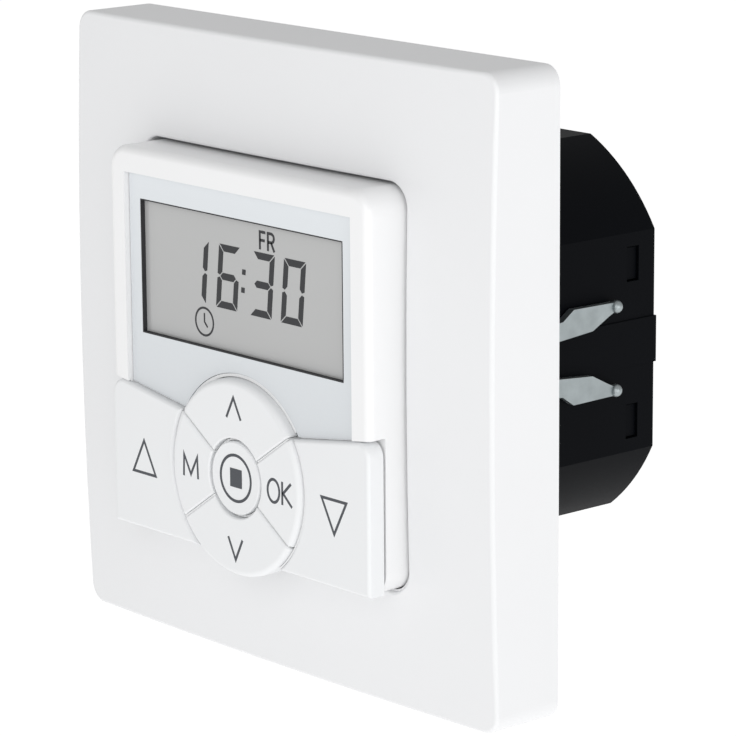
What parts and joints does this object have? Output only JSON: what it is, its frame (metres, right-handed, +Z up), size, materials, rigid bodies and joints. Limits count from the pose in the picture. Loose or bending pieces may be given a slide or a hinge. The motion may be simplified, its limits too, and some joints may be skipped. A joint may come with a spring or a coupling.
{
  "type": "flush-mounted wall timer",
  "caption": "Square wall timer for roller shutters: domed white cover frame, plug-in control unit with display and keys, black flush-box insert with spreading claws.",
  "frame": {"origin": "centre of the support ring's back face, on the wall surface", "axes": "+X to the right seen from the room, +Z up, the front faces -Y, the insert goes into the wall along +Y"},
  "size_m": [0.08, 0.0498, 0.08],
  "materials": {
    "frame_white": "satin-gloss white plastic",
    "housing_white": "satin-gloss white plastic",
    "key_white": "fine satin white plastic",
    "panel_grey": "pale blue-grey glossy film",
    "display_glass": "grey reflective display behind glass",
    "light_guide": "milky acrylic",
    "insert_black": "satin black plastic",
    "part_black": "black moulded plastic",
    "relay_black": "black moulded plastic",
    "zinc_steel": "zinc-plated sheet steel",
    "screw_steel": "zinc-plated screw",
    "board_green": "solder mask",
    "block_grey": "grey plastic",
    "clamp_brass": "bare brass",
    "capacitor_yellow": "yellow plastic",
    "can_aluminium": "bare can",
    "varistor_blue": "blue lacquer",
    "ferrite": "ferrite core",
    "fuse_brown": "brown sleeve",
    "strip_rubber": "conductive silicone"
  },
  "bodies": {
    "insert": {"support_ring": "zinc_steel", "rear_housing": "insert_black", "insert_cover": "part_black", "ring_screw_1": "screw_steel", "ring_screw_2": "screw_steel", "ring_screw_3": "screw_steel", "ring_screw_4": "screw_steel", "claw_pin_left": "zinc_steel", "claw_pin_right": "zinc_steel", "power_board": "board_green", "relay_up": "relay_black", "relay_down": "relay_black", "film_capacitor": "capacitor_yellow", "electrolytic_capacitor": "can_aluminium", "varistor": "varistor_blue", "transformer": "ferrite", "fuse": "fuse_brown", "terminal_block": "block_grey", "wire_clamp_1": "clamp_brass", "wire_clamp_2": "clamp_brass", "wire_clamp_3": "clamp_brass", "wire_clamp_4": "clamp_brass", "wire_clamp_5": "clamp_brass", "header_socket": "part_black"},
    "cover_frame": {"cover_frame": "frame_white"},
    "control_unit": {"control_housing": "housing_white", "control_rear_cover": "part_black", "unit_screw_1": "screw_steel", "unit_screw_2": "screw_steel", "unit_screw_3": "screw_steel", "unit_screw_4": "screw_steel", "control_board": "board_green", "microcontroller": "relay_black", "backup_cell": "can_aluminium", "plug_header": "part_black", "lcd_glass": "display_glass", "light_guide": "light_guide", "contact_strip_upper": "strip_rubber", "contact_strip_lower": "strip_rubber", "display_panel": "panel_grey", "switch_up": "relay_black", "switch_down": "relay_black", "switch_pad_up": "relay_black", "switch_pad_down": "relay_black", "switch_menu": "relay_black", "switch_ok": "relay_black", "switch_stop": "relay_black"},
    "up_key": {"up_key": "key_white"},
    "down_key": {"down_key": "key_white"},
    "pad_up_button": {"pad_up_button": "key_white"},
    "pad_down_button": {"pad_down_button": "key_white"},
    "menu_button": {"menu_button": "key_white"},
    "ok_button": {"ok_button": "key_white"},
    "stop_button": {"stop_button": "key_white"},
    "claw_screw_left": {"claw_screw_left": "screw_steel"},
    "claw_nut_left": {"claw_nut_left": "zinc_steel"},
    "claw_left": {"claw_left": "zinc_steel"},
    "claw_screw_right": {"claw_screw_right": "screw_steel"},
    "claw_nut_right": {"claw_nut_right": "zinc_steel"},
    "claw_right": {"claw_right": "zinc_steel"}
  },
  "joints": [
    {"name": "frame_pull_off", "type": "slide", "parent": "insert", "child": "cover_frame", "axis": [0, -1, 0], "range_m": [0, 0.02]},
    {"name": "unit_pull_off", "type": "slide", "parent": "cover_frame", "child": "control_unit", "axis": [0, -1, 0], "range_m": [0, 0.03]},
    {"name": "up_press", "type": "slide", "parent": "control_unit", "child": "up_key", "axis": [0, 1, 0], "range_m": [0, 0.0003], "stiffness_N_per_m": 3000},
    {"name": "down_press", "type": "slide", "parent": "control_unit", "child": "down_key", "axis": [0, 1, 0], "range_m": [0, 0.0003], "stiffness_N_per_m": 3000},
    {"name": "pad_up_press", "type": "slide", "parent": "control_unit", "child": "pad_up_button", "axis": [0, 1, 0], "range_m": [0, 0.0003], "stiffness_N_per_m": 3000},
    {"name": "pad_down_press", "type": "slide", "parent": "control_unit", "child": "pad_down_button", "axis": [0, 1, 0], "range_m": [0, 0.0003], "stiffness_N_per_m": 3000},
    {"name": "menu_press", "type": "slide", "parent": "control_unit", "child": "menu_button", "axis": [0, 1, 0], "range_m": [0, 0.0003], "stiffness_N_per_m": 3000},
    {"name": "ok_press", "type": "slide", "parent": "control_unit", "child": "ok_button", "axis": [0, 1, 0], "range_m": [0, 0.0003], "stiffness_N_per_m": 3000},
    {"name": "stop_press", "type": "slide", "parent": "control_unit", "child": "stop_button", "axis": [0, 1, 0], "range_m": [0, 0.0003], "stiffness_N_per_m": 3000},
    {"name": "claw_nut_left_travel", "type": "slide", "parent": "insert", "child": "claw_nut_left", "axis": [0, -1, 0], "range_m": [0, 0.00068]},
    {"name": "claw_screw_left_turn", "type": "hinge", "parent": "insert", "child": "claw_screw_left", "pos_m": [-0.0284, 0, 0], "axis": [0, 1, 0], "range_deg": [0, 490]},
    {"name": "claw_left_spread", "type": "hinge", "parent": "insert", "child": "claw_left", "pos_m": [-0.0259, 0.0042, 0], "axis": [0, 0, 1], "range_deg": [0, 22.01]},
    {"name": "claw_nut_right_travel", "type": "slide", "parent": "insert", "child": "claw_nut_right", "axis": [0, -1, 0], "range_m": [0, 0.00068]},
    {"name": "claw_screw_right_turn", "type": "hinge", "parent": "insert", "child": "claw_screw_right", "pos_m": [0.0284, 0, 0], "axis": [0, 1, 0], "range_deg": [0, 490]},
    {"name": "claw_right_spread", "type": "hinge", "parent": "insert", "child": "claw_right", "pos_m": [0.0259, 0.0042, 0], "axis": [0, 0, -1], "range_deg": [0, 22.01]}
  ],
  "couplings": [
    {"joint": "claw_screw_left_turn", "follows": "claw_nut_left_travel", "rad_per_m": 12566},
    {"joint": "claw_left_spread", "follows": "claw_nut_left_travel", "rad_per_m": 564.2},
    {"joint": "claw_screw_right_turn", "follows": "claw_nut_right_travel", "rad_per_m": 12566},
    {"joint": "claw_right_spread", "follows": "claw_nut_right_travel", "rad_per_m": 564.2}
  ]
}
